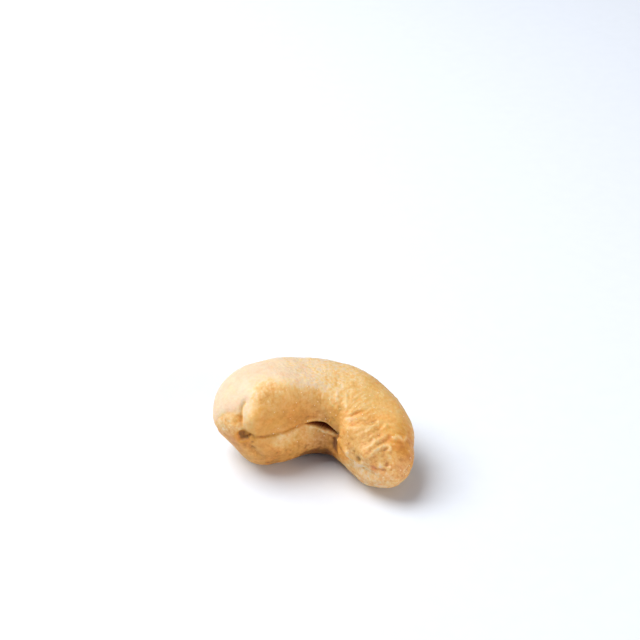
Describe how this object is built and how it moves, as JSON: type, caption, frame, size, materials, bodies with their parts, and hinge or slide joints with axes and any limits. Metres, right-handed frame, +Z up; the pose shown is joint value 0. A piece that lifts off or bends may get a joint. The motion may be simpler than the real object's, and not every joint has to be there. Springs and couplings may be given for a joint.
{
  "type": "roasted cashew nut",
  "caption": "Whole roasted cashew kernel, kidney-shaped, lying on its side, with the seam between its seed leaves split open in the inner curve.",
  "frame": {"origin": "on the surface that the nut lies on, under the middle of its box", "axes": "+Z up from the surface, +X along the nut's length from the fat germ end to the narrow tip, +Y towards the outside of its bend, so the inner curve opens towards -Y"},
  "size_m": [0.0268, 0.02, 0.0134],
  "materials": {
    "roasted_kernel": "dry-roasted seed flesh, cream to golden, waxy with a soft sheen",
    "salt": "fine grains of table salt"
  },
  "bodies": {
    "root": {"kernel": "roasted_kernel"}
  },
  "joints": []
}
